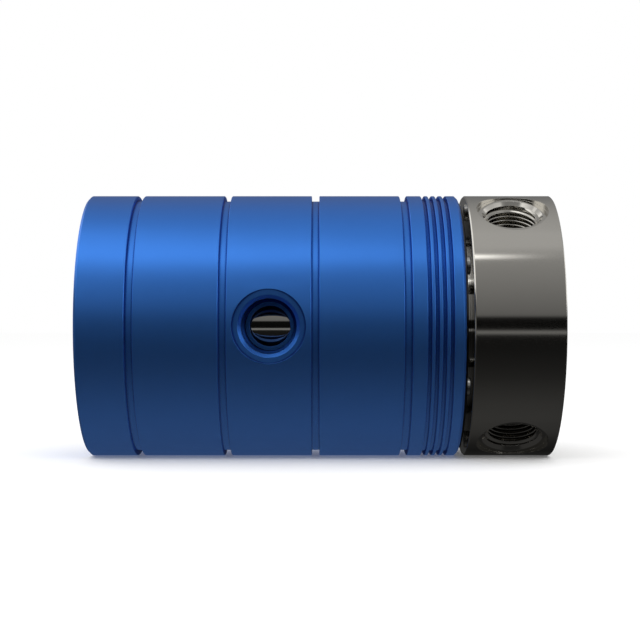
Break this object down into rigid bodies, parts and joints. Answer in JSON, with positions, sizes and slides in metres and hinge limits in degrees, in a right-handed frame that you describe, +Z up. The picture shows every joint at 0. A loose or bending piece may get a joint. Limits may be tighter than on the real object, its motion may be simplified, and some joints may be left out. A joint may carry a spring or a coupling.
{
  "type": "hydraulic rotary union",
  "caption": "Cylindrical hydraulic rotary union: a grooved housing with threaded ports turns on ball bearings around a passage shaft fixed to a ported flange.",
  "frame": {"origin": "centre of the port flange's mounting face, on the turning axis", "axes": "+X along the turning axis, out of the mounting face; +Z up; the middle housing port points along -Y"},
  "size_m": [0.1845, 0.105, 0.105],
  "materials": {
    "blue_anodised_aluminium": "fine turned, anodised",
    "ground_steel": "fine turned, bright",
    "polished_shaft_steel": "ground and polished",
    "bearing_steel": "ground",
    "screw_steel": "bright",
    "brass_cage": "machined",
    "seal_ptfe": "filled PTFE",
    "nitrile_rubber": "matt"
  },
  "bodies": {
    "shaft": {"shaft": "polished_shaft_steel", "port_flange": "ground_steel", "flange_screws": "screw_steel", "flange_dowel": "bearing_steel", "passage_orings": "nitrile_rubber", "front_bearing_inner_ring": "bearing_steel", "rear_bearing_inner_ring": "bearing_steel", "shaft_circlip": "screw_steel"},
    "housing": {"housing": "blue_anodised_aluminium", "front_bearing_outer_ring": "bearing_steel", "rear_bearing_outer_ring": "bearing_steel", "retainer_plate": "ground_steel", "retainer_screws": "screw_steel", "front_dust_seal": "nitrile_rubber", "rear_cover": "blue_anodised_aluminium", "rear_cover_screws": "screw_steel", "rear_cover_oring": "nitrile_rubber", "rotary_seal_1": "seal_ptfe", "rotary_seal_2": "seal_ptfe", "rotary_seal_3": "seal_ptfe", "rotary_seal_4": "seal_ptfe", "seal_energiser_1": "nitrile_rubber", "seal_energiser_2": "nitrile_rubber", "seal_energiser_3": "nitrile_rubber", "seal_energiser_4": "nitrile_rubber"},
    "front_cage": {"front_bearing_cage": "brass_cage", "front_bearing_balls": "bearing_steel"},
    "rear_cage": {"rear_bearing_cage": "brass_cage", "rear_bearing_balls": "bearing_steel"}
  },
  "joints": [
    {"name": "housing_spin", "type": "hinge", "parent": "shaft", "child": "housing", "pos_m": [-0.111, 0, 0], "axis": [1, 0, 0], "continuous": true},
    {"name": "front_cage_spin", "type": "hinge", "parent": "shaft", "child": "front_cage", "pos_m": [-0.047, 0, 0], "axis": [1, 0, 0], "continuous": true},
    {"name": "rear_cage_spin", "type": "hinge", "parent": "shaft", "child": "rear_cage", "pos_m": [-0.1725, 0, 0], "axis": [1, 0, 0], "continuous": true}
  ],
  "couplings": [
    {"joint": "front_cage_spin", "follows": "housing_spin", "ratio": 0.55481},
    {"joint": "rear_cage_spin", "follows": "housing_spin", "ratio": 0.5378}
  ]
}
